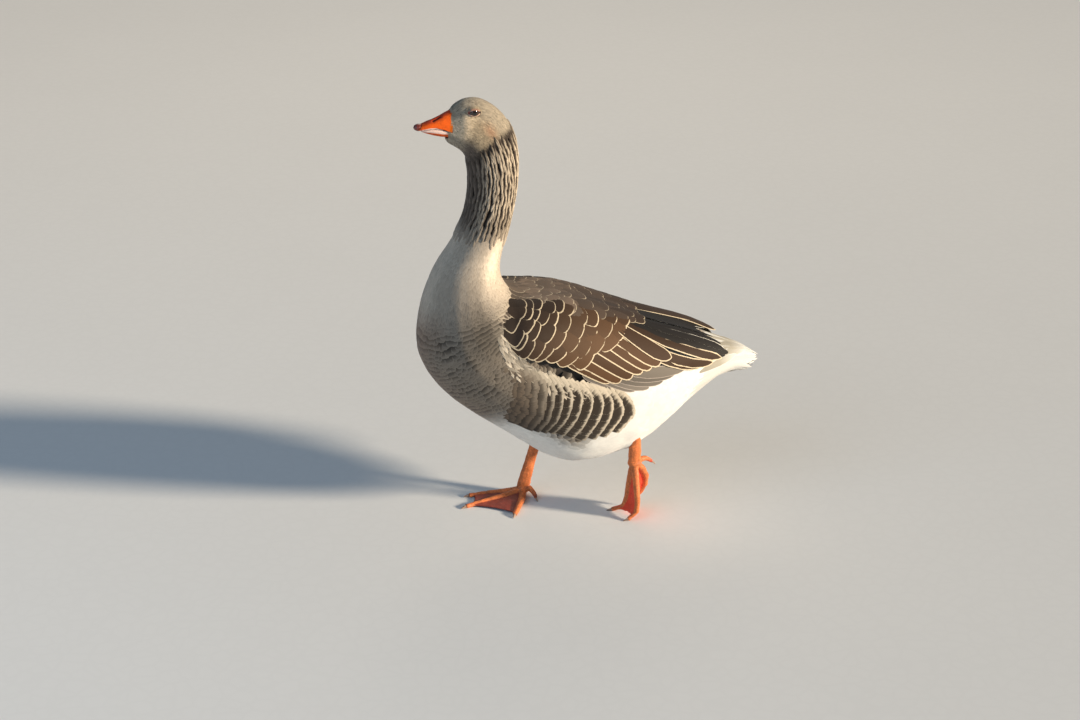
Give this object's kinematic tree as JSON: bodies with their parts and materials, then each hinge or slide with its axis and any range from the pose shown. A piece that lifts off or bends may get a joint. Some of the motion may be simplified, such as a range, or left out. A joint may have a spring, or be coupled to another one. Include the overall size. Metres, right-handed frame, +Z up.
{
  "type": "domestic goose",
  "caption": "Life-size still model of a domestic goose of greylag type, walking, with head up, folded wings and webbed feet on the floor.",
  "frame": {"origin": "on the floor, under the middle of the whole goose's box", "axes": "+Z up, -X towards the bill, -Y towards the goose's left side"},
  "size_m": [0.5014, 0.2182, 0.6353],
  "materials": {
    "plumage_head": "short soft feathers, warm grey-brown, matt",
    "plumage_neck": "dark brown feathers set in pale-edged furrows, matt",
    "plumage_body": "soft overlapping feathers, pale grey-brown breast, barred flank and white belly, matt",
    "plumage_wing": "dark brown feathers with narrow cream edges, faint sheen",
    "plumage_pale": "white feathers, matt",
    "bill": "smooth orange horn with a low gloss, paler along the mouth",
    "bill_nail": "pale pinkish-brown horn, glossy",
    "eye": "dark brown iris, black pupil, wet gloss",
    "leg": "orange scaly skin, redder on the webs, slight gloss",
    "claw": "dark horn with a low gloss"
  },
  "bodies": {
    "root": {"head": "plumage_head", "neck_upper": "plumage_neck", "neck_lower": "plumage_body", "trunk": "plumage_body", "tail": "plumage_pale", "bill_upper": "bill", "bill_lower": "bill", "bill_nail": "bill_nail", "eye_left": "eye", "wing_left": "plumage_wing", "thigh_left": "plumage_pale", "shank_left": "leg", "foot_left": "leg", "hallux_left": "leg", "claw_left_1": "claw", "claw_left_2": "claw", "claw_left_3": "claw", "claw_left_4": "claw", "eye_right": "eye", "wing_right": "plumage_wing", "thigh_right": "plumage_pale", "shank_right": "leg", "foot_right": "leg", "hallux_right": "leg", "claw_right_1": "claw", "claw_right_2": "claw", "claw_right_3": "claw", "claw_right_4": "claw"}
  },
  "joints": []
}
